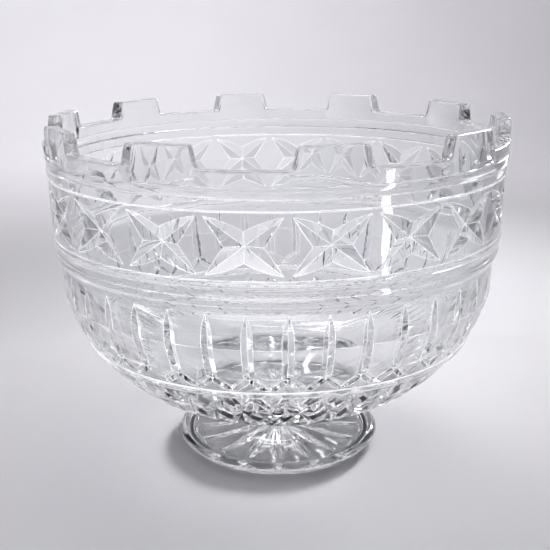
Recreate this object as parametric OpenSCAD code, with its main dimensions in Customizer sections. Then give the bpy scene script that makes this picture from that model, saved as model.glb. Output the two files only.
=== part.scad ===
// Footed crystal punch bowl with a castellated rim: bowl, stem and foot.
// The origin is the centre of the foot's underside. +Z is up and -Y is the front.

/* [Bowl] */
// Outer diameter of the wall at the floor of the rim's gaps
bowl_d = 300; // [290:1:310]
// Height of the gap floors above the table
rim_z = 216.4; // [214:0.2:220]
// Thickness of the side wall
wall = 8.5; // [7.5:0.5:10]
// Thickness of the glass at the bottom of the bowl
base_t = 13; // [11:0.5:16]

/* [Castellated rim] */
// Number of blocks that stand up round the rim
blocks = 10; // [8:1:12]
// Height of a block above the gap floors
block_h = 12.5; // [9:0.5:16]
// Width of a gap at its floor
gap_floor_w = 48.8; // [40:0.2:52]
// Width of a gap at the top of the blocks
gap_top_w = 54.4; // [52:0.2:58]
// Radius in the corners of a gap's floor
gap_corner_r = 3; // [1:0.5:4]
// Depth of the flat that is cut on the outside of each block
block_flat = 1.8; // [1:0.1:2.2]

/* [Star band] */
// Number of four-pointed stars round the bowl
stars = 20; // [16:1:20]
// Depth of the two crossing cuts at a star's centre
star_depth = 2.2; // [1.4:0.1:2.6]
// Angle between a star's cuts and the vertical
star_slant = 51; // [46:1:54]

/* [Flute band] */
// Number of pointed flutes round the bowl
flutes = 40; // [30:2:44]
// Depth of a flute at the middle of its height
flute_depth = 3.3; // [2.4:0.1:4]

/* [Diamond band] */
// Number of diamonds round the bottom of the bowl
diamonds = 40; // [30:2:44]
// Depth of a diamond's cuts at the middle of their length
diamond_depth = 2; // [1.4:0.1:2.6]

/* [Stem] */
// Diameter of the stem where it joins the bowl and the foot
stem_d = 40; // [36:1:44]
// Depth of the waist round the stem
stem_waist = 2.5; // [1.5:0.5:4]

/* [Foot] */
// Diameter of the foot at its widest
foot_d = 140.8; // [136:0.2:150]
// Diameter of the face that stands on the table
foot_face_d = 129.4; // [126:0.2:132]
// Height of the foot's widest edge
foot_edge_z = 6.9; // [6:0.1:8]
// Height of the foot where the stem begins
foot_top_z = 19; // [17:0.5:21]
// Number of petals cut into the underside
petals = 16; // [12:1:18]
// Turn of the foot against the bowl's cutting, in degrees
foot_turn = 6.7; // [0:0.1:22.5]

/* [Hidden] */
$fn = 96;

// Levels of the bands, measured down from the gap floors.
step_z = rim_z - 7.8;
groove_z = rim_z - 14;
star_top_z = rim_z - 20.4;
star_low_z = rim_z - 58.1;
ring_z = rim_z - 62.3;
cove_z = rim_z - 67.7;
ledge_z = rim_z - 72.8;
flute_top_z = rim_z - 78;
bead_z = rim_z - 130.5;

// The bowl's body is a superellipse from the shoulder down to the base.
shoulder_z = rim_z - 56;
base_z = rim_z - 188;
body_h = shoulder_z - base_z + 0.6;
body_power = 2.3;
rim_r = bowl_d / 2;
top_z = rim_z + block_h;
body_r = rim_r - 2.3;
body_steps = 9;
body_first = 15.5;
groove = 0.5;

// The wall leans in a little from the gap floors to the tops of the blocks.
lip_r = rim_r - 0.8;

// Bead round the foot of the flutes: how far it stands out, half its face and half its root.
bead_r = 1.8;
bead_face = 0.8;
bead_root = 3;

// Half the angle between the two sides of each kind of V cut.
star_half_angle = 74;
flute_half_angle = 43;
diamond_half_angle = 58;

// Where the middle of a star's cuts lies, and how far the wall looks down there.
star_r = rim_r - 1.8;
star_lean = 1.5;

// The flutes follow the wall below this level, and the diamonds lie between these two.
flute_lean_z = flute_top_z - 12;
diamond_top_z = bead_z - 5;
diamond_low_z = base_z + 24;

// How far a cutting shape runs past the glass.
over = 1;
gap_cut_l = 60;
flat_cut_l = 20;

stem_r = stem_d / 2;
stem_h = base_z - foot_top_z;

// Length of a V cut, and how far it opens outside the surface.
cut_l = 70;
cut_h = 6;

// The petals stop inside the face that stands on the table.
petal_zone_r = foot_face_d / 2 - 4.5;
petal_recess = 0.6;
petal_end_r = 50;
petal_start_r = 8;
petal_land = 0.3;
petal_rise = 3.5;

function body_point(r, h, a) = [
    r * pow(cos(a), 2 / body_power),
    shoulder_z - h * pow(sin(a), 2 / body_power)
];

// Angle on the superellipse at which its radius is r.
function body_end(r) = acos(pow(r / body_r, body_power / 2));

// Radius of the body at a height below the shoulder.
function body_r_at(z) =
    body_r * pow(1 - pow((shoulder_z - z) / body_h, body_power), 1 / body_power);

// Angle by which the outward normal of a chord from z_high to z_low looks down.
function chord_down(z_high, z_low) =
    atan2(body_r_at(z_high) - body_r_at(z_low), z_high - z_low);

// A fine V groove in the outline, half a millimetre deep.
function v_groove(r, z) = [[r, z + groove], [r - groove, z], [r, z - groove]];

outer_line = concat(
    [[lip_r, top_z], [rim_r + 0.2, rim_z], [rim_r - 0.4, step_z - 1]],
    v_groove(rim_r - 0.7, groove_z),
    v_groove(rim_r - 1.3, star_top_z),
    v_groove(rim_r - 2.4, star_low_z),
    v_groove(rim_r - 2.5, ring_z),
    [[rim_r - 3.2, cove_z], [rim_r - 4.2, ledge_z], [rim_r - 6.2, flute_top_z]],
    [for (i = [0:body_steps])
        let (a = body_first + (body_end(stem_r) - body_first) * i / body_steps)
        body_point(body_r, body_h, a)]
);

inner_line = concat(
    [[lip_r - wall, top_z]],
    [for (i = [0:body_steps])
        body_point(body_r - wall, body_h - base_t, 90 * i / body_steps)]
);

module wall_outline() {
    bead = [body_r_at(bead_z), bead_z];
    difference() {
        union() {
            polygon(concat([[0, base_z]], [[0, top_z]], outer_line));
            polygon([bead + [-over, bead_root], bead + [bead_r, bead_face],
                     bead + [bead_r, -bead_face], bead + [-over, -bead_root]]);
        }
        polygon(concat([[0, top_z + over], [lip_r - wall, top_z + over]], inner_line));
    }
}

// Straight V cut: its valley runs along +Z, sunk below the local surface x = 0.
module v_cut(depth, half_angle, length = cut_l) {
    mouth = (depth + cut_h) * tan(half_angle);
    linear_extrude(length, center = true)
        polygon([[-depth, 0], [cut_h, mouth], [cut_h, -mouth]]);
}

// Puts a cut on the wall: radius, height, how far the surface looks down, slant.
module on_wall(r, z, down, slant) {
    translate([r, 0, z])
        rotate([0, down, 0])
            rotate([slant, 0, 0])
                children();
}

module ring_of(count, offset = 0) {
    for (i = [0:count - 1])
        rotate([0, 0, (i + offset) * 360 / count])
            children();
}

// Outline of a gap between two blocks, with round corners at its floor.
module gap_outline() {
    lean = atan2(gap_top_w / 2 - gap_floor_w / 2, block_h);
    grow = gap_top_w / 2 + over * tan(lean);
    reach = gap_corner_r * tan((90 - lean) / 2);
    difference() {
        polygon([[-gap_floor_w / 2, rim_z], [gap_floor_w / 2, rim_z],
                 [grow, top_z + over], [-grow, top_z + over]]);
        for (side = [-1, 1])
            difference() {
                polygon([[side * gap_floor_w / 2, rim_z],
                         [side * (gap_floor_w / 2 - reach), rim_z],
                         [side * (gap_floor_w / 2 - reach), rim_z + gap_corner_r],
                         [side * (gap_floor_w / 2 + reach * sin(lean)), rim_z + reach * cos(lean)]]);
                translate([side * (gap_floor_w / 2 - reach), rim_z + gap_corner_r])
                    circle(gap_corner_r);
            }
    }
}

module rim_cuts() {
    ring_of(blocks, 0.5)
        translate([rim_r - gap_cut_l / 2, 0, 0])
            rotate([90, 0, 90])
                linear_extrude(gap_cut_l)
                    gap_outline();
    ring_of(blocks)
        translate([rim_r - block_flat, -gap_floor_w, step_z])
            cube([flat_cut_l, 2 * gap_floor_w, top_z + over - step_z]);
}

module star_cuts() {
    z = (star_top_z + star_low_z) / 2;
    ring_of(stars)
        for (side = [-1, 1])
            on_wall(star_r, z, star_lean, side * star_slant)
                v_cut(star_depth, star_half_angle);
}

module flute_cuts() {
    low_z = bead_z + bead_r;
    z = (flute_top_z + low_z) / 2;
    down = chord_down(flute_lean_z, low_z);
    ring_of(flutes)
        on_wall(body_r_at(z), z, down, 0)
            v_cut(flute_depth, flute_half_angle, (flute_top_z - low_z) / cos(down));
}

module diamond_cuts() {
    z = (diamond_top_z + diamond_low_z) / 2;
    pitch_w = body_r_at(z) * 2 * PI / diamonds;
    fall = [body_r_at(diamond_top_z) - body_r_at(diamond_low_z), diamond_top_z - diamond_low_z];
    slant = atan2(pitch_w, norm(fall));
    ring_of(diamonds, 0.5)
        for (side = [-1, 1])
            on_wall(body_r_at(z), z, chord_down(diamond_top_z, diamond_low_z), side * slant)
                v_cut(diamond_depth, diamond_half_angle);
}

module bowl() {
    color([0.90, 0.93, 0.95, 0.45])
        difference() {
            rotate_extrude() wall_outline();
            rim_cuts();
            star_cuts();
            flute_cuts();
            diamond_cuts();
        }
}

module stem() {
    sag = (pow(stem_h / 2, 2) + pow(stem_waist, 2)) / (2 * stem_waist);
    color([0.86, 0.90, 0.93, 0.55])
        rotate_extrude()
            difference() {
                translate([0, foot_top_z]) square([stem_r, stem_h]);
                translate([stem_r - stem_waist + sag, foot_top_z + stem_h / 2]) circle(sag);
            }
}

// Half outline of the foot: face, edge, then a hollow curve up to the stem.
module foot_outline() {
    edge_r = foot_d / 2;
    brim_r = edge_r - 3;
    brim_z = foot_edge_z + 3.4;
    steps = 8;
    polygon(concat(
        [[0, 0], [foot_face_d / 2, 0], [edge_r, foot_edge_z],
         [edge_r - 0.6, foot_edge_z + 2.2]],
        [for (i = [0:steps])
            [brim_r + (stem_r - brim_r) * i / steps,
             brim_z + (foot_top_z - brim_z) * pow(i / steps, 2.6)]],
        [[0, foot_top_z]]
    ));
}

// One petal: a wide V that deepens outwards, kept inside a round-ended wedge.
module petal_cut() {
    half_pitch = 180 / petals;
    start_w = petal_start_r * tan(half_pitch) - petal_land;
    end_w = petal_end_r * tan(half_pitch) - petal_land;
    intersection() {
        translate([0, 0, -1])
            linear_extrude(8) {
                polygon([[petal_start_r, -start_w], [petal_end_r, -end_w],
                         [petal_end_r, end_w], [petal_start_r, start_w]]);
                translate([petal_end_r, 0]) circle(end_w);
            }
        translate([0, 0, petal_recess])
            rotate([0, 90 - petal_rise, 0])
                translate([0, 0, petal_end_r / 2])
                    v_cut(0, 90 - atan(sin(petal_rise) / tan(half_pitch)), 3 * petal_end_r);
    }
}

module foot() {
    color([0.88, 0.92, 0.94, 0.5])
        rotate([0, 0, foot_turn])
            difference() {
                rotate_extrude() foot_outline();
                translate([0, 0, -1]) cylinder(r = petal_zone_r, h = 1 + petal_recess);
                ring_of(petals, 0.5) petal_cut();
            }
}

bowl();
stem();
foot();
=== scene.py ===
"""Footed cut-crystal punch bowl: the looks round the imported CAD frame.

Lengths in the constants are millimetres and mirror part.scad; meshes are made in metres.
Every surface is a closed grid of rows and columns. The stars, flutes and diamonds are
then cut into the bowl with V-shaped cutters, the way a cutting wheel does it.
"""
import math

import bmesh
import bpy
import numpy as np
from mathutils import Matrix, Vector

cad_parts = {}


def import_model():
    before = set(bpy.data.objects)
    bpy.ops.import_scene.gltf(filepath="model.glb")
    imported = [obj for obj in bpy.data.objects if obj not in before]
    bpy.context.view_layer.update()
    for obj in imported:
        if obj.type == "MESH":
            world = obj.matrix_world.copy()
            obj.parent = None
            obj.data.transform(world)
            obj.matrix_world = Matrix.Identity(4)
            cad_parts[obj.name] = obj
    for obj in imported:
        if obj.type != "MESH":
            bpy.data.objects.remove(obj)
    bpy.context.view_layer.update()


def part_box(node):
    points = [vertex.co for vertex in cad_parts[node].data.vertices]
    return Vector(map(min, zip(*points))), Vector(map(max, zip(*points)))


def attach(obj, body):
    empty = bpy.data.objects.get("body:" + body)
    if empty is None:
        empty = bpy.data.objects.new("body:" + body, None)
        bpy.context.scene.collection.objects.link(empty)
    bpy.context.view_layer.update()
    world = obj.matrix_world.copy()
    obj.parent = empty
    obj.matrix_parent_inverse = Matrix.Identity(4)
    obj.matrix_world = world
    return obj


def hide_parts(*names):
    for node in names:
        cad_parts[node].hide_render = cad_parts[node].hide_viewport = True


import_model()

MM = 0.001

# ---------------------------------------------------------------- sizes from the frame
bowl_low, bowl_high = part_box("bowl")
_, foot_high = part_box("foot")
stem_low, stem_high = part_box("stem")
TOP_Z = bowl_high.z / MM
BASE_Z = bowl_low.z / MM
RIM_R = bowl_high.y / MM - 0.2
FOOT_TOP_Z = foot_high.z / MM
STEM_R = 0.5 * (stem_high.x - stem_low.x) / MM

# ---------------------------------------------------------------- sizes as in part.scad
WALL = 8.5
BASE_T = 13.0
BLOCKS = 10
BLOCK_H = 12.5
GAP_FLOOR_W = 48.8
GAP_TOP_W = 54.4
GAP_CORNER_R = 3.0
BLOCK_FLAT = 1.8
STARS = 20
FLUTES = 40
DIAMONDS = 40
PETALS = 16
FOOT_TURN = 6.7
FOOT_D = 140.8
FOOT_FACE_D = 129.4
FOOT_EDGE_Z = 6.9
STEM_WAIST = 2.5

RIM_Z = TOP_Z - BLOCK_H
STEP_Z = RIM_Z - 7.8
GROOVE_Z = RIM_Z - 14
STAR_TOP_Z = RIM_Z - 20.4
STAR_LOW_Z = RIM_Z - 58.1
RING_Z = RIM_Z - 62.3
COVE_Z = RIM_Z - 67.7
LEDGE_Z = RIM_Z - 72.8
FLUTE_TOP_Z = RIM_Z - 78
BEAD_Z = RIM_Z - 130.5
SHOULDER_Z = RIM_Z - 56
BODY_H = SHOULDER_Z - BASE_Z + 0.6
BODY_R = RIM_R - 2.3
BODY_POWER = 2.3
BODY_FIRST = 15.5
LIP_R = RIM_R - 0.8

# How far the wall stands in from RIM_R, from the light band down to the tops of the flutes.
BAND_FOOT_IN = 0.6
GROOVE_IN = 1.15
GROOVE_LIP_IN = 0.75
GROOVE_FOOT_IN = 1.0
STAR_HEAD_IN = 1.3
STAR_LINE_IN = 1.75
STAR_TOP_IN = 1.32
STAR_LEAN = 1.03        # further in at the foot of the star band
STAR_LOW_IN = 2.9
RING_TOP_IN = 2.45
RING_FOOT_IN = 2.55
RING_IN = 3.0
COVE_TOP_IN = 2.6
COVE_FOOT_IN = 3.2
LEDGE_TOP_IN = 3.1
LEDGE_FOOT_IN = 4.2
FLUTE_HEAD_IN = 4.75
FLUTE_TOP_IN = 6.2

# ---------------------------------------------------------------- finish of the glass
ROUND_OUT = 0.9       # fire-polished round on the outer edge of the rim
ROUND_IN = 1.2        # the same on the inner edge
BLOCK_CORNER_R = 1.7  # round on a block's upper corners
STAR_DEPTH = 3.0
STAR_SIDE = 10.5      # star centre to its left and right inner corners
STAR_UP = 8.5         # star centre to its upper and lower inner corners
STAR_TIP = (20.8, 15.8)
FLUTE_DEPTH = 2.0
FLUTE_HALF_W = 3.3
FLUTE_ARCH = 15.0
DIAMOND_DEPTH = 2.2
DIAMOND_HALF_W = 3.9
FAN_TOP_Z = BEAD_Z + 12.5
FAN_DEPTH = 1.3
FAN_HALF_W = 2.4
BEAD_H = 1.5
BEAD_HALF_W = 2.6
BEAD_CLEAR = 3.2      # cutters follow the wall without its bead this far to each side
STAR_MID_IN = 1.84    # the wall at the middle of a star, in from RIM_R
CUTTER_OVER = 1.3     # a star cutter runs this many times its depth out through the wall
CUTTER_LID = 12.0     # and closes this far outside the rim
PETAL_DEPTH = 4.2
PETAL_CENTRE_R = 46.5 # middle of a petal's round end
PETAL_ROUND_R = 13.5  # radius of that round end


def body_point(radius, height, angle):
    a = math.radians(angle)
    return (radius * max(math.cos(a), 0.0) ** (2 / BODY_POWER),
            SHOULDER_Z - height * math.sin(a) ** (2 / BODY_POWER))


# ---------------------------------------------------------------- mesh helpers
def new_piece(name, mesh):
    obj = bpy.data.objects.new(name, mesh)
    bpy.context.scene.collection.objects.link(obj)
    return obj


def grid_mesh(name, rows, first_pole, last_pole):
    """Closed mesh of rings of equal length, with a pole at each end. Rows in millimetres."""
    count = len(rows[0])
    points = np.vstack([np.array([first_pole])] + [np.asarray(r) for r in rows]
                       + [np.array([last_pole])]) * MM
    nxt = [(i + 1) % count for i in range(count)]
    faces = [(0, 1 + nxt[i], 1 + i) for i in range(count)]
    for k in range(len(rows) - 1):
        a, b = 1 + k * count, 1 + (k + 1) * count
        faces += [(a + i, a + nxt[i], b + nxt[i], b + i) for i in range(count)]
    last = 1 + (len(rows) - 1) * count
    end = len(points) - 1
    faces += [(last + i, last + nxt[i], end) for i in range(count)]
    mesh = bpy.data.meshes.new(name)
    mesh.from_pydata(points.tolist(), [], faces)
    mesh.validate()
    return mesh


def ring(radius, z, angles):
    a = np.radians(angles)
    return np.stack([radius * np.cos(a), radius * np.sin(a), np.full(len(a), z)], 1)


def finish_mesh(mesh, sharp):
    mesh.shade_smooth()
    mesh.set_sharp_from_angle(angle=math.radians(sharp))


def arc(p, q, bulge, steps):
    """Points from p to q along a shallow bow that stands out by bulge at its middle."""
    p, q = np.array(p, float), np.array(q, float)
    along = q - p
    out = np.array([-along[1], along[0]]) / np.linalg.norm(along)
    if out[0] < 0:
        out = -out
    t = np.linspace(0, 1, steps + 1)
    return [tuple(p + along * u + out * bulge * 4 * u * (1 - u)) for u in t]


# ---------------------------------------------------------------- outline of the rim
HALF = 180 / BLOCKS
LEAN = math.atan2((GAP_TOP_W - GAP_FLOOR_W) / 2, BLOCK_H)
FLAT_X = RIM_R - BLOCK_FLAT


def rim_samples():
    """Half of a gap's outline, from the gap's centre to the middle of the block beside it.

    Each sample is (y, z, ny, nz, angle): place in the gap's plane, normal into the glass,
    and on the block's top the angle from the block's centre instead of y.
    """
    side = (math.sin(LEAN), math.cos(LEAN))
    reach = math.tan((math.pi / 2 - LEAN) / 2)
    floor_y = GAP_FLOOR_W / 2
    top_y = GAP_TOP_W / 2
    out = []
    first = floor_y - reach * GAP_CORNER_R
    for y in np.linspace(0, first, 9)[:-1]:
        out.append((y, RIM_Z, 0, -1, None))
    for a in np.linspace(-math.pi / 2, -LEAN, 6):
        c, s = math.cos(a), math.sin(a)
        out.append((first + GAP_CORNER_R * c, RIM_Z + GAP_CORNER_R * (1 + s), c, s, None))
    corner = (top_y + reach * BLOCK_CORNER_R, TOP_Z - BLOCK_CORNER_R)
    low = out[-1][:2]
    high = (corner[0] - BLOCK_CORNER_R * side[1], corner[1] + BLOCK_CORNER_R * side[0])
    for t in (0.25, 0.5, 0.75):
        out.append((low[0] + (high[0] - low[0]) * t, low[1] + (high[1] - low[1]) * t,
                    side[1], -side[0], None))
    for a in np.linspace(math.pi - LEAN, math.pi / 2, 6):
        c, s = math.cos(a), math.sin(a)
        out.append((corner[0] + BLOCK_CORNER_R * c, corner[1] + BLOCK_CORNER_R * s, -c, -s, None))
    last = HALF - math.degrees(math.asin(corner[0] / LIP_R))
    for t in np.linspace(1, 0, 9)[1:]:
        out.append((0, TOP_Z, 0, -1, last * t))
    return out


SAMPLES = rim_samples()


def outer_cylinder(z):
    if z >= RIM_Z:
        return RIM_R + 0.2 - (z - RIM_Z) / BLOCK_H
    return RIM_R + 0.2 - 0.6 * (RIM_Z - z) / (RIM_Z - STEP_Z + 1)


def outer_r(beta, z):
    """Radius of the rim's outside at an angle from the block's centre, flats included."""
    return min(outer_cylinder(z), FLAT_X / math.cos(math.radians(beta)))


def inner_r(z):
    return LIP_R - WALL - 1.5 * (TOP_Z - z) / (TOP_Z - SHOULDER_Z)


def outline_row(offset, radius_of):
    """Angles from the block's centre, heights and radii of one row that follows the rim."""
    row = []
    for y, z, ny, nz, beta in SAMPLES:
        z_here = z + nz * offset
        if beta is None:
            y_here = y + ny * offset
            b = HALF - 9
            for _ in range(8):
                b = HALF - math.degrees(math.asin(y_here / radius_of(b, z_here)))
        else:
            b = beta
        row.append((b, z_here, radius_of(b, z_here)))
    return row


def ring_points(half_row):
    """Whole ring from half an outline: block centre out to the gap centre, then mirrored."""
    pts = []
    for k in range(BLOCKS):
        centre = 2 * HALF * k
        for b, z, r in half_row[::-1]:                 # block centre -> gap centre
            pts.append((centre + b, z, r))
        for b, z, r in half_row[1:-1]:                 # gap centre -> next block centre
            pts.append((centre + 2 * HALF - b, z, r))
    a = np.radians([p[0] for p in pts])
    r = np.array([p[2] for p in pts])
    return np.stack([r * np.cos(a), r * np.sin(a), [p[1] for p in pts]], 1)


def remap(values, old, new):
    """Slides angles so that the column at old lands on new; both ends stay where they are."""
    return [v * new / old if v <= old else HALF - (HALF - v) * (HALF - new) / (HALF - old)
            for v in values]


def bowl_rows():
    """All rows of the bowl from the edge of its base, up the outside, over the rim and
    down the inside to the bottom."""
    crest = outline_row(ROUND_OUT, outer_r)
    crest_b = [c[0] for c in crest]
    # Where a block's flat runs out into the round wall at this row.
    crest_r = outer_cylinder(RIM_Z - ROUND_OUT)
    edge_b = min(crest_b, key=lambda b: abs(FLAT_X / math.cos(math.radians(b)) - crest_r))
    count = len(SAMPLES)
    even = [HALF - HALF * i / (count - 1) for i in range(count)]

    def flat_edge(z):
        return math.degrees(math.acos(FLAT_X / outer_cylinder(z)))

    step_b = remap(crest_b, edge_b, flat_edge(STEP_Z))

    def even_ring(r, z, blend):
        return ring_points([(s + (e - s) * blend, z, r) for s, e in zip(step_b, even)])

    outer = []   # from the top down
    for t in (0.12, 0.3, 0.5, 0.7, 0.88):
        z_line = [c[1] + (STEP_Z - c[1]) * t for c in crest]
        angles = [c + (s - c) * t for c, s in zip(crest_b, step_b)]
        at = edge_b + (flat_edge(STEP_Z) - edge_b) * t
        z_edge = RIM_Z - ROUND_OUT + (STEP_Z - RIM_Z + ROUND_OUT) * t
        angles = remap(angles, at, flat_edge(z_edge))
        outer.append(ring_points([(b, z, outer_r(b, z)) for b, z in zip(angles, z_line)]))
    outer.append(ring_points([(b, STEP_Z, outer_r(b, STEP_Z)) for b in step_b]))

    r_step = outer_cylinder(STEP_Z)
    top, low = STAR_TOP_Z - 0.5, STAR_LOW_Z + 0.5
    profile = arc((r_step + 0.4, STEP_Z - 0.2), (RIM_R - BAND_FOOT_IN, GROOVE_Z + 0.6), 0.3, 8)
    profile += [(RIM_R - GROOVE_IN, GROOVE_Z),
                (RIM_R - GROOVE_LIP_IN, GROOVE_Z - 0.55),
                (RIM_R - GROOVE_FOOT_IN, GROOVE_Z - 3),
                (RIM_R - STAR_HEAD_IN, STAR_TOP_Z + 0.5),
                (RIM_R - STAR_LINE_IN, STAR_TOP_Z),
                (RIM_R - STAR_TOP_IN, top)]
    for z in np.linspace(top, low, 16)[1:]:
        lean = STAR_LEAN * (STAR_TOP_Z - 0.5 - z) / (STAR_TOP_Z - STAR_LOW_Z - 1)
        profile.append((RIM_R - STAR_TOP_IN - lean, z))
    profile.append((RIM_R - STAR_LOW_IN, STAR_LOW_Z))
    profile += arc((RIM_R - RING_TOP_IN, STAR_LOW_Z - 0.5), (RIM_R - RING_FOOT_IN, RING_Z + 0.5), 0.4, 6)
    profile.append((RIM_R - RING_IN, RING_Z))
    profile += arc((RIM_R - COVE_TOP_IN, RING_Z - 0.5), (RIM_R - COVE_FOOT_IN, COVE_Z), -0.3, 6)
    profile += arc((RIM_R - LEDGE_TOP_IN, COVE_Z - 0.25), (RIM_R - LEDGE_FOOT_IN, LEDGE_Z), 0.45, 6)
    flute_top = (RIM_R - FLUTE_TOP_IN, FLUTE_TOP_Z)
    profile += arc((RIM_R - FLUTE_HEAD_IN, LEDGE_Z - 0.4), flute_top, -0.25, 5)
    first = body_point(BODY_R, BODY_H, BODY_FIRST)
    reach = np.array(first) - flute_top
    profile += [tuple(np.array(flute_top) + reach * t) for t in (0.2, 0.4, 0.6, 0.8, 1)]
    end = math.degrees(math.acos((STEM_R / BODY_R) ** (BODY_POWER / 2)))
    body = [body_point(BODY_R, BODY_H, a) for a in np.linspace(BODY_FIRST, end, 400)[1:]]
    body = np.array([first] + body)
    run = np.concatenate([[0], np.cumsum(np.linalg.norm(np.diff(body, axis=0), axis=1))])
    at_bead = np.interp(-BEAD_Z, -body[:, 1], run)
    stations = list(np.linspace(0, at_bead - BEAD_HALF_W, 16)[1:-1])
    across = np.array([-1, -0.97, -0.85, -0.62, -0.33, 0, 0.33, 0.62, 0.85, 0.97, 1])
    stations += list(at_bead + BEAD_HALF_W * across)
    stations += list(np.linspace(at_bead + BEAD_HALF_W, run[-1], 42)[1:])

    def on_body(s):
        return np.array([np.interp(s, run, body[:, 0]), np.interp(s, run, body[:, 1])])

    for s in stations:
        p = on_body(s)
        chord = on_body(s + 0.5) - on_body(s - 0.5)
        tangent = chord / np.linalg.norm(chord)
        normal = np.array([-tangent[1], tangent[0]])
        u = (s - at_bead) / BEAD_HALF_W
        lift = BEAD_H * math.sqrt(max(0.0, 1 - u * u)) if abs(u) < 1 else 0.0
        profile.append(tuple(p + normal * lift))
    blend_low = STAR_TOP_Z - 6
    for r, z in profile:
        w = min(1.0, max(0.0, (STEP_Z - z) / (STEP_Z - blend_low)))
        outer.append(even_ring(r, z, w))

    rows = outer[::-1]

    # Round outer edge, the top, the round inner edge.
    for k in range(5):
        phi = math.radians(22.5 * k)
        d, inset = ROUND_OUT * (1 - math.sin(phi)), ROUND_OUT * (1 - math.cos(phi))
        rows.append(ring_points(outline_row(d, lambda b, z, inset=inset: outer_r(b, z) - inset)))
    for t in (0.25, 0.5, 0.75):
        def flat_top(b, z, t=t):
            return (outer_r(b, z) - ROUND_OUT) * (1 - t) + (inner_r(z) + ROUND_IN) * t
        rows.append(ring_points(outline_row(0, flat_top)))
    for k in range(4, -1, -1):
        phi = math.radians(22.5 * k)
        d, inset = ROUND_IN * (1 - math.sin(phi)), ROUND_IN * (1 - math.cos(phi))
        rows.append(ring_points(outline_row(d, lambda b, z, inset=inset: inner_r(z) + inset)))

    low = outline_row(ROUND_IN, lambda b, z: inner_r(z))
    meet_z = STEP_Z - 2
    for t in (0.12, 0.3, 0.5, 0.7, 0.85, 1.0):
        half = [(b + (e - b) * t, z + (meet_z - z) * t) for (b, z, _), e in zip(low, even)]
        rows.append(ring_points([(b, z, inner_r(z)) for b, z in half]))
    for z in np.linspace(meet_z, SHOULDER_Z, 14)[1:]:
        rows.append(ring_points([(e, z, inner_r(z)) for e in even]))
    for a in np.linspace(0, 90, 46)[1:-1]:
        a = 90 * (a / 90) ** 0.92
        r, z = body_point(BODY_R - WALL, BODY_H - BASE_T, a)
        rows.append(ring_points([(e, z, r) for e in even]))
    return rows, np.array(profile)


def closed_loft(name, rings):
    """Closed mesh through triangular rings, capped at both ends; several lofts may be given."""
    points, faces = [], []
    for loft in rings:
        start = len(points)
        n = len(loft[0])
        for section in loft:
            points += [tuple(np.array(p) * MM) for p in section]
        for k in range(len(loft) - 1):
            a, b = start + k * n, start + (k + 1) * n
            faces += [(a + i, a + (i + 1) % n, b + (i + 1) % n, b + i) for i in range(n)]
        faces.append(tuple(range(start, start + n))[::-1])
        last = start + (len(loft) - 1) * n
        faces.append(tuple(range(last, last + n)))
    mesh = bpy.data.meshes.new(name)
    mesh.from_pydata(points, [], faces)
    return fix_normals(mesh)


def fix_normals(mesh):
    bm = bmesh.new()
    bm.from_mesh(mesh)
    bmesh.ops.recalc_face_normals(bm, faces=bm.faces)
    bm.to_mesh(mesh)
    bm.free()
    return mesh


def cut(piece, cutter_mesh):
    """Takes the cutter's volume away from the piece."""
    tool = new_piece("cutter", cutter_mesh)
    mod = piece.modifiers.new("cut", "BOOLEAN")
    mod.operation = "DIFFERENCE"
    mod.solver = "MANIFOLD"
    mod.object = tool
    dg = bpy.context.evaluated_depsgraph_get()
    done = bpy.data.meshes.new_from_object(piece.evaluated_get(dg))
    piece.modifiers.clear()
    old = piece.data
    piece.data = done
    bpy.data.meshes.remove(old)
    bpy.data.objects.remove(tool)


def spin(points, angle):
    a = math.radians(angle)
    c, s = math.cos(a), math.sin(a)
    p = np.asarray(points, float)
    return np.stack([p[:, 0] * c - p[:, 1] * s, p[:, 0] * s + p[:, 1] * c, p[:, 2]], 1)


def spun(loft, count):
    """The loft repeated count times round the axis."""
    return [[spin(section, 360 / count * k) for section in loft] for k in range(count)]


def star_cutters(which):
    """Shallow eight-sided cones whose outline at the wall is a four-armed star."""
    z = 0.5 * (STAR_TOP_Z + STAR_LOW_Z)

    def r_at(h):
        return RIM_R - STAR_MID_IN + (h / (STAR_TOP_Z - STAR_LOW_Z))

    outline = [(STAR_SIDE, 0), (STAR_TIP[0], STAR_TIP[1]), (0, STAR_UP), (-STAR_TIP[0], STAR_TIP[1]),
               (-STAR_SIDE, 0), (-STAR_TIP[0], -STAR_TIP[1]), (0, -STAR_UP), (STAR_TIP[0], -STAR_TIP[1])]
    points, faces = [], []
    apex = np.array([r_at(0) - STAR_DEPTH, 0, z])
    base = []
    for y, h in outline:
        r = r_at(h)
        p = np.array([math.sqrt(r * r - y * y), y, z + h])
        base.append(apex + (p - apex) * CUTTER_OVER)
    lid = np.array([RIM_R + CUTTER_LID, 0, z])
    for k in which:
        start = len(points)
        points += [tuple(p * MM) for p in spin([apex, lid] + base, 360 / STARS * k)]
        for i in range(8):
            a, b = start + 2 + i, start + 2 + (i + 1) % 8
            faces += [(start, b, a), (start + 1, a, b)]
    mesh = bpy.data.meshes.new("star_cutters")
    mesh.from_pydata(points, [], faces)
    return fix_normals(mesh)


def v_loft(line, normals, depths, half_w, full_depth, over=1.2):
    """V-shaped rings along a line on the wall; the V keeps its angle and sinks by depths."""
    spread = half_w / full_depth
    line, normals = np.asarray(line), np.asarray(normals)
    ahead = np.gradient(line, axis=0)
    side = np.cross(normals, ahead)
    side /= np.linalg.norm(side, axis=1)[:, None]
    loft = []
    for p, n, s, d in zip(line, normals, side, depths):
        wide = (d + over) * spread
        loft.append([p - n * d, p + n * over + s * wide, p + n * over - s * wide])
    return loft


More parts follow.
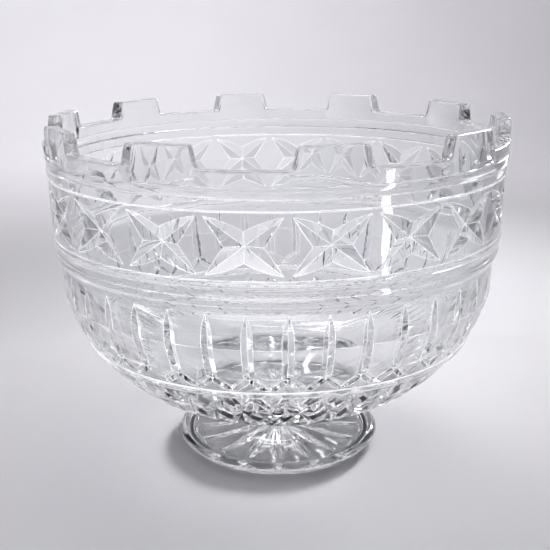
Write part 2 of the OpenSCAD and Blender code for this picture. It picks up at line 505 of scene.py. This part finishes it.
def wall_track(profile, high_z, low_z, count):
    """Points and outward normals of the wall's outline between two levels, evenly spaced."""
    z = profile[:, 1]
    keep = (z <= high_z + 6) & (z >= low_z - 6)
    line = profile[keep]
    run = np.concatenate([[0], np.cumsum(np.linalg.norm(np.diff(line, axis=0), axis=1))])
    s0 = np.interp(-high_z, -line[:, 1], run)
    s1 = np.interp(-low_z, -line[:, 1], run)
    s = np.linspace(s0, s1, count)
    p = np.stack([np.interp(s, run, line[:, 0]), np.interp(s, run, line[:, 1])], 1)
    t = np.gradient(p, axis=0)
    t /= np.linalg.norm(t, axis=1)[:, None]
    n = np.stack([-t[:, 1], t[:, 0]], 1)
    return p, n, s - s0


def flute_cutters(profile):
    plain = np.array([p for p in profile if abs(p[1] - BEAD_Z) > BEAD_CLEAR])
    p, n, s = wall_track(plain, FLUTE_TOP_Z + 0.3, FAN_TOP_Z - 2, 30)
    total = s[-1]
    depths = []
    for x in s:
        top = 1 - (1 - x / FLUTE_ARCH) ** 2 if x < FLUTE_ARCH else 1.0
        low = (total - x) / 5.0
        bottom = 1 - (1 - low) ** 2 if low < 1 else 1.0
        depths.append(FLUTE_DEPTH * min(top, bottom) - 0.02)
    line = np.stack([p[:, 0], np.zeros(len(p)), p[:, 1]], 1)
    normals = np.stack([n[:, 0], np.zeros(len(p)), n[:, 1]], 1)
    loft = v_loft(line, normals, depths, FLUTE_HALF_W, FLUTE_DEPTH)
    return closed_loft("flute_cutters", spun(loft, FLUTES))


def fan_cutters(profile, hand):
    """Short slanting cuts between the end of each flute and the bead."""
    plain = np.array([p for p in profile if abs(p[1] - BEAD_Z) > BEAD_CLEAR])
    p, n, s = wall_track(plain, FAN_TOP_Z, BEAD_Z + 2.6, 12)
    t = s / s[-1]
    depths = FAN_DEPTH * (1 - (2 * t - 1) ** 4) + 0.2
    turn = np.radians(hand * 0.5 * 360 / FLUTES * t)
    line = np.stack([p[:, 0] * np.cos(turn), p[:, 0] * np.sin(turn), p[:, 1]], 1)
    normals = np.stack([n[:, 0] * np.cos(turn), n[:, 0] * np.sin(turn), n[:, 1]], 1)
    loft = v_loft(line, normals, depths, FAN_HALF_W, FAN_DEPTH)
    return closed_loft("fan_cutters", spun(loft, FLUTES))


def diamond_cutters(profile, hand):
    p, n, s = wall_track(profile, BEAD_Z - 5.5, BASE_Z + 22, 26)
    t = s / s[-1]
    depths = DIAMOND_DEPTH * (1 - np.abs(2 * t - 1) ** 3.5) + 0.25
    turn = np.radians(hand * 360 / DIAMONDS * t)
    line = np.stack([p[:, 0] * np.cos(turn), p[:, 0] * np.sin(turn), p[:, 1]], 1)
    normals = np.stack([n[:, 0] * np.cos(turn), n[:, 0] * np.sin(turn), n[:, 1]], 1)
    loft = v_loft(line, normals, depths, DIAMOND_HALF_W, DIAMOND_DEPTH)
    return closed_loft("diamond_cutters", spun(loft, DIAMONDS))


# ---------------------------------------------------------------- materials
GLASS_IOR = 1.55
ARRIS_R = 0.0005        # metres of edge that acid polishing rounds
GLINT_START_COS = 0.9995     # cosine between rounded and true surface below which the painted white edge highlight starts
GLINT_FULL_COS = 0.9975     # and at which that painted highlight is at full strength
# White of the painted highlight lines along the cut edges, standing in for their glints
GLINT_WHITE = (0.95, 0.96, 0.98, 1)


def new_material(name):
    mat = bpy.data.materials.new(name)
    mat.use_nodes = True
    return mat, mat.node_tree.nodes, mat.node_tree.links


def add_node(nodes, kind, **values):
    """New node with its sockets set; an underscore in a name stands for a space."""
    node = nodes.new(kind)
    for name, value in values.items():
        node.inputs[name.replace("_", " ")].default_value = value
    return node


def set_ramp(ramp, low_at, low, high_at, high):
    first, last = ramp.color_ramp.elements
    first.position, first.color = low_at, low
    last.position, last.color = high_at, high


def crystal_material(name, glint_share):
    """Lead crystal; the second argument is how strongly white highlight lines are painted along its cut
    edges, from 0 to 1.
    """
    mat, nodes, links = new_material(name)
    bsdf = nodes["Principled BSDF"]
    bsdf.inputs["Transmission Weight"].default_value = 1.0
    bsdf.inputs["IOR"].default_value = GLASS_IOR
    coord = nodes.new("ShaderNodeTexCoord")

    def noise(scale, detail):
        node = add_node(nodes, "ShaderNodeTexNoise", Scale=scale, Detail=detail)
        links.new(coord.outputs["Object"], node.inputs["Vector"])
        return node.outputs["Fac"]

    # Colour: almost colourless, with a faint cool cast that drifts through the metal.
    tint = nodes.new("ShaderNodeValToRGB")
    set_ramp(tint, 0.3, (0.972, 0.984, 0.992, 1), 0.7, (0.994, 0.996, 1.0, 1))
    links.new(noise(9.0, 2.0), tint.inputs["Fac"])
    links.new(tint.outputs["Color"], bsdf.inputs["Base Color"])
    # Polish: hand polishing leaves slightly softer patches.
    rough = add_node(nodes, "ShaderNodeMapRange", From_Min=0.45, From_Max=0.75, To_Min=0.0, To_Max=0.035)
    links.new(noise(60.0, 4.0), rough.inputs["Value"])
    links.new(rough.outputs["Result"], bsdf.inputs["Roughness"])
    # Surface: polished edges, the slow ripple of blown glass, the faint grain of polished cuts.
    edge = add_node(nodes, "ShaderNodeBevel", Radius=ARRIS_R)
    edge.samples = 4
    wave = add_node(nodes, "ShaderNodeBump", Strength=0.5, Distance=0.0009)
    fine = add_node(nodes, "ShaderNodeBump", Strength=0.06, Distance=0.0001)
    links.new(noise(28.0, 1.5), wave.inputs["Height"])
    links.new(noise(420.0, 2.0), fine.inputs["Height"])
    links.new(edge.outputs["Normal"], wave.inputs["Normal"])
    links.new(wave.outputs["Normal"], fine.inputs["Normal"])
    links.new(fine.outputs["Normal"], bsdf.inputs["Normal"])
    # Along every cut edge a hairline of whitish glass is painted on as a highlight, standing in for the
    # glints of the polished edges; the edge lamps light it.
    face = nodes.new("ShaderNodeNewGeometry")
    turn = nodes.new("ShaderNodeVectorMath")
    turn.operation = "DOT_PRODUCT"
    links.new(edge.outputs["Normal"], turn.inputs[0])
    links.new(face.outputs["Normal"], turn.inputs[1])
    glint_mask = add_node(nodes, "ShaderNodeMapRange", From_Min=GLINT_START_COS, From_Max=GLINT_FULL_COS,
                     To_Min=0.0, To_Max=glint_share)
    links.new(turn.outputs["Value"], glint_mask.inputs["Value"])
    through = add_node(nodes, "ShaderNodeBsdfTranslucent", Color=GLINT_WHITE)
    front = add_node(nodes, "ShaderNodeBsdfDiffuse", Color=GLINT_WHITE)
    painted_glint = add_node(nodes, "ShaderNodeMixShader", Fac=0.5)
    links.new(through.outputs["BSDF"], painted_glint.inputs[1])
    links.new(front.outputs["BSDF"], painted_glint.inputs[2])
    blend = nodes.new("ShaderNodeMixShader")
    links.new(glint_mask.outputs["Result"], blend.inputs["Fac"])
    links.new(bsdf.outputs["BSDF"], blend.inputs[1])
    links.new(painted_glint.outputs["Shader"], blend.inputs[2])
    links.new(blend.outputs["Shader"], nodes["Material Output"].inputs["Surface"])
    return mat


def seam_material():
    """Hot-joined seam: the glass runs through it without a surface."""
    mat, nodes, links = new_material("fused_seam")
    nodes.remove(nodes["Principled BSDF"])
    clear = nodes.new("ShaderNodeBsdfTransparent")
    links.new(clear.outputs["BSDF"], nodes["Material Output"].inputs["Surface"])
    return mat


# The second number sets how strongly white highlight lines are painted along the cut edges.
CRYSTAL = crystal_material("lead_crystal", 1.0)
POLISHED = crystal_material("polished_bands", 0.28)
RIM = crystal_material("polished_rim", 0.07)
SEAM = seam_material()
GLASS = bpy.data.collections.new("glass")


def dress(piece, node, seam_levels):
    """Gives a piece its glass, clears its fused seams and ties it to the frame."""
    mesh = piece.data
    mesh.materials.clear()
    for material in (CRYSTAL, SEAM, POLISHED, RIM):
        mesh.materials.append(material)
    limit = (STEM_R + 0.05) * MM
    for face in mesh.polygons:
        c = face.center
        flat = any(abs(c.z - z * MM) < 1e-6 for z in seam_levels)
        if flat and c.xy.length < limit and abs(face.normal.z) > 0.999:
            face.material_index = 1
        elif c.z > (STEP_Z + 0.4) * MM:
            face.material_index = 3
        elif c.z > (STAR_TOP_Z + 1.5) * MM or FLUTE_TOP_Z < c.z / MM < STAR_LOW_Z - 0.6:
            face.material_index = 2
    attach(piece, "root")
    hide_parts(node)
    GLASS.objects.link(piece)


# ---------------------------------------------------------------- bowl
rows, wall_profile = bowl_rows()
inside_bottom = (0, 0, BASE_Z + BASE_T - 0.6)
bowl = new_piece("crystal_bowl", grid_mesh("crystal_bowl", rows, (0, 0, BASE_Z), inside_bottom))
# Cutters of one group don't touch each other, so neighbouring stars and crossing cuts go apart.
for first_star in (0, 1):
    cut(bowl, star_cutters(range(first_star, STARS, 2)))
cut(bowl, flute_cutters(wall_profile))
for cutters in (fan_cutters, diamond_cutters):
    for hand in (1, -1):
        cut(bowl, cutters(wall_profile, hand))
finish_mesh(bowl.data, sharp=9)
dress(bowl, "bowl", [BASE_Z])

# ---------------------------------------------------------------- stem
angles = np.arange(0, 360, 2.5)
height = BASE_Z - FOOT_TOP_Z
stem_rows = []
for t in np.linspace(0, 1, 25):
    waist = STEM_WAIST * 4 * t * (1 - t)
    stem_rows.append(ring(STEM_R - waist, FOOT_TOP_Z + height * t, angles))
stem = new_piece("crystal_stem", grid_mesh("crystal_stem", stem_rows, (0, 0, FOOT_TOP_Z), (0, 0, BASE_Z)))
finish_mesh(stem.data, sharp=30)
dress(stem, "stem", [FOOT_TOP_Z, BASE_Z])


# ---------------------------------------------------------------- foot
def petal_end(offset):
    """Distance from the axis at which a petal ends, at an angle from the petal's middle."""
    a = math.radians(offset)
    aside = PETAL_CENTRE_R * math.sin(a)
    return PETAL_CENTRE_R * math.cos(a) + math.sqrt(PETAL_ROUND_R ** 2 - aside ** 2)


RIDGE = 0.12          # share of a petal's half width taken by the flat ridge beside it
PETAL_COLUMNS = [-1, -0.97, -0.94, -0.91, -0.88, -0.85, -0.8, -0.72, -0.6, -0.45, -0.3, -0.15,
                 0, 0.15, 0.3, 0.45, 0.6, 0.72, 0.8, 0.85, 0.88, 0.91, 0.94, 0.97]


def petal_section(u):
    """Depth of a petal across its width, 1 at the middle and 0 on the ridges."""
    v = min(1.0, abs(u) / (1 - RIDGE))
    return 1 - v ** 2.6


def foot_rows():
    per = len(PETAL_COLUMNS)
    half = 180 / PETALS
    angles, ends, across = [], [], []
    for k in range(PETALS):
        for i in range(per):
            u = PETAL_COLUMNS[i]
            angles.append(FOOT_TURN + (k + 0.5) * 2 * half + u * half)
            ends.append(petal_end(u * half))
            across.append(petal_section(u))
    angles, ends, across = np.array(angles), np.array(ends), np.array(across)
    cos, sin = np.cos(np.radians(angles)), np.sin(np.radians(angles))

    def row(r, z):
        r = np.broadcast_to(r, angles.shape)
        z = np.broadcast_to(z, angles.shape)
        return np.stack([r * cos, r * sin, z], 1)

    edge_r, face_r = FOOT_D / 2, FOOT_FACE_D / 2
    brim = (edge_r - 3, FOOT_EDGE_Z + 3.4)
    rows = []
    # Underside, from the middle outwards: scooped petals, then the ring it stands on.
    for t in (0.04, 0.08, 0.13, 0.19, 0.26, 0.34, 0.42, 0.5, 0.58, 0.66, 0.73, 0.79, 0.84,
              0.88, 0.91, 0.935, 0.955, 0.97, 0.982, 0.991, 0.997, 1.0):
        depth = PETAL_DEPTH * t ** 0.8 * math.sqrt(max(0.0, 1 - t ** 12))
        rows.append(row(ends * t, 0.6 + depth * across))
    rows.append(row(np.maximum(ends + 0.4, 60.6), 0.6))
    rows.append(row(61.0, 0.25))
    rows.append(row(61.4, 0.0))
    rows.append(row(face_r - 1.2, 0.0))
    for r, z in arc((face_r - 0.5, 0.08), (edge_r - 0.15, FOOT_EDGE_Z - 0.8), 0.35, 6):
        rows.append(row(r, z))
    for r, z in arc((edge_r, FOOT_EDGE_Z), (brim[0] + 0.9, brim[1] - 0.45), 0.45, 6):
        rows.append(row(r, z))
    for t in np.linspace(0, 1, 34):
        r = brim[0] + (STEM_R - brim[0]) * t
        rows.append(row(r, brim[1] + (FOOT_TOP_Z - brim[1]) * t ** 2.6))
    return rows


foot = new_piece("crystal_foot", grid_mesh("crystal_foot", foot_rows(), (0, 0, 0.6), (0, 0, FOOT_TOP_Z)))
finish_mesh(foot.data, sharp=16)
dress(foot, "foot", [FOOT_TOP_Z])


# ---------------------------------------------------------------- stage
CAM_TURN = 6.71
CAM_DISTANCE = 588.75
CAM_HEIGHT = 294.4
CAM_PITCH = 16.64
CAM_YAW = 0.148
CAM_ROLL = -0.45
CAM_LENS = 58.19


def soft_grey(name, colour, roughness):
    """Matt paper with a faint cloudiness."""
    mat, nodes, links = new_material(name)
    bsdf = nodes["Principled BSDF"]
    bsdf.inputs["Roughness"].default_value = roughness
    bsdf.inputs["Specular IOR Level"].default_value = 0.2
    coord = nodes.new("ShaderNodeTexCoord")
    noise = add_node(nodes, "ShaderNodeTexNoise", Scale=3.0, Detail=3.0)
    ramp = nodes.new("ShaderNodeValToRGB")
    set_ramp(ramp, 0.35, tuple(c * 0.97 for c in colour) + (1,), 0.65, tuple(colour) + (1,))
    links.new(coord.outputs["Object"], noise.inputs["Vector"])
    links.new(noise.outputs["Fac"], ramp.inputs["Fac"])
    links.new(ramp.outputs["Color"], bsdf.inputs["Base Color"])
    return mat


def sweep():
    """Round pale floor that curves up into a low wall, the same from every side."""
    angles = np.arange(0, 360, 5.0)
    flat_r, cove_r, wall_h = 1500.0, 900.0, 1600.0
    rows = [ring(r, 0, angles) for r in np.linspace(100, flat_r, 15)]
    for a in np.linspace(0, 90, 13)[1:]:
        s, c = math.sin(math.radians(a)), math.cos(math.radians(a))
        rows.append(ring(flat_r + cove_r * s, cove_r * (1 - c), angles))
    rows.append(ring(flat_r + cove_r, wall_h, angles))
    count = len(angles)
    points = np.vstack([np.array([[0, 0, 0]])] + rows) * MM
    faces = [(0, 1 + i, 1 + (i + 1) % count) for i in range(count)]
    for k in range(len(rows) - 1):
        a, b = 1 + k * count, 1 + (k + 1) * count
        faces += [(a + i, b + i, b + (i + 1) % count, a + (i + 1) % count) for i in range(count)]
    mesh = bpy.data.meshes.new("sweep")
    mesh.from_pydata(points.tolist(), [], faces)
    mesh.shade_smooth()
    return new_piece("sweep", mesh)


floor = sweep()
floor.data.materials.append(soft_grey("pale_paper", (0.78, 0.77, 0.80), 0.85))


# ---------------------------------------------------------------- light
def world():
    """A dark room, seen above the paper's edge."""
    w = bpy.data.worlds.new("studio")
    bpy.context.scene.world = w
    w.use_nodes = True
    nodes, links = w.node_tree.nodes, w.node_tree.links
    back = nodes["Background"]
    coord = nodes.new("ShaderNodeTexCoord")
    split = nodes.new("ShaderNodeSeparateXYZ")
    ramp = nodes.new("ShaderNodeValToRGB")
    links.new(coord.outputs["Generated"], split.inputs["Vector"])
    links.new(split.outputs["Z"], ramp.inputs["Fac"])
    set_ramp(ramp, 0.0, (0.50, 0.49, 0.53, 1), 1.0, (0.06, 0.06, 0.07, 1))
    ramp.color_ramp.elements.new(0.62).color = (0.03, 0.03, 0.035, 1)
    links.new(ramp.outputs["Color"], back.inputs["Color"])
    back.inputs["Strength"].default_value = 0.9


def softbox(name, place, aim, size, power):
    """Soft rectangular light. Places and sizes in metres, power in watts."""
    data = bpy.data.lights.new(name, "AREA")
    data.shape = "RECTANGLE"
    data.size, data.size_y = size
    data.energy = power
    light = bpy.data.objects.new(name, data)
    bpy.context.scene.collection.objects.link(light)
    light.location = place
    light.rotation_euler = (Vector(aim) - Vector(place)).to_track_quat("-Z", "Y").to_euler()
    return light


EDGE_LIGHTS = 4
EDGE_TURN = CAM_TURN - 60
EDGE_RING_R = 1.3
EDGE_Z = 0.9


def edge_light(name, angle):
    """Broad light that only the painted white highlight lines along the cut edges pick up."""
    place = (EDGE_RING_R * math.cos(angle), EDGE_RING_R * math.sin(angle), EDGE_Z)
    light = softbox(name, place, (0, 0, 0.13), (1.2, 1.0), 40)
    light.visible_transmission = False
    light.visible_glossy = False
    light.light_linking.receiver_collection = GLASS


world()
# The thin wall hardly dims the low light from behind; the foot and the stem do.
key = softbox("key", (0.52, 1.3, 0.62), (-0.1, -0.17, 0), (0.4, 0.3), 1.6)
key.data.spread = math.radians(38)
casters = bpy.data.collections.new("casters")
for piece in (stem, foot):
    casters.objects.link(piece)
key.light_linking.blocker_collection = casters
softbox("overhead", (0.3, 0.4, 1.8), (0, 0.1, 0), (1.4, 1.2), 13)
# A low bright strip, seen only as the upright streak it leaves on the right of the wall.
streak = softbox("streak", (0.367, -0.295, 0.11), (0.055, -0.137, 0.19), (0.03, 0.2), 0.2)
streak.light_linking.receiver_collection = GLASS
streak.visible_transmission = False
softbox("backdrop_glow", (-0.45, 1.1, 1.3), (-0.6, 2.0, 0.05), (0.8, 0.5), 17)
for k in range(EDGE_LIGHTS):
    edge_light("edge_%d" % k, math.radians(EDGE_TURN + 360 / EDGE_LIGHTS * k))

# ---------------------------------------------------------------- camera
camera_data = bpy.data.cameras.new("camera")
camera_data.sensor_width = 36
camera_data.lens = CAM_LENS
camera = bpy.data.objects.new("camera", camera_data)
bpy.context.scene.collection.objects.link(camera)
turn = math.radians(CAM_TURN)
place = Vector((CAM_DISTANCE * math.sin(turn), -CAM_DISTANCE * math.cos(turn), CAM_HEIGHT)) * MM
camera.matrix_world = (Matrix.Translation(place)
                       @ Matrix.Rotation(turn + math.radians(CAM_YAW), 4, "Z")
                       @ Matrix.Rotation(math.radians(90 - CAM_PITCH), 4, "X")
                       @ Matrix.Rotation(math.radians(CAM_ROLL), 4, "Z"))
scene = bpy.context.scene
scene.camera = camera
scene.view_settings.view_transform = "Standard"
scene.view_settings.look = "Medium High Contrast"
scene.view_settings.exposure = -0.42
# Light has to pass through many glass faces.
scene.cycles.max_bounces = 32
scene.cycles.transmission_bounces = 32
scene.cycles.glossy_bounces = 12
scene.cycles.transparent_max_bounces = 32
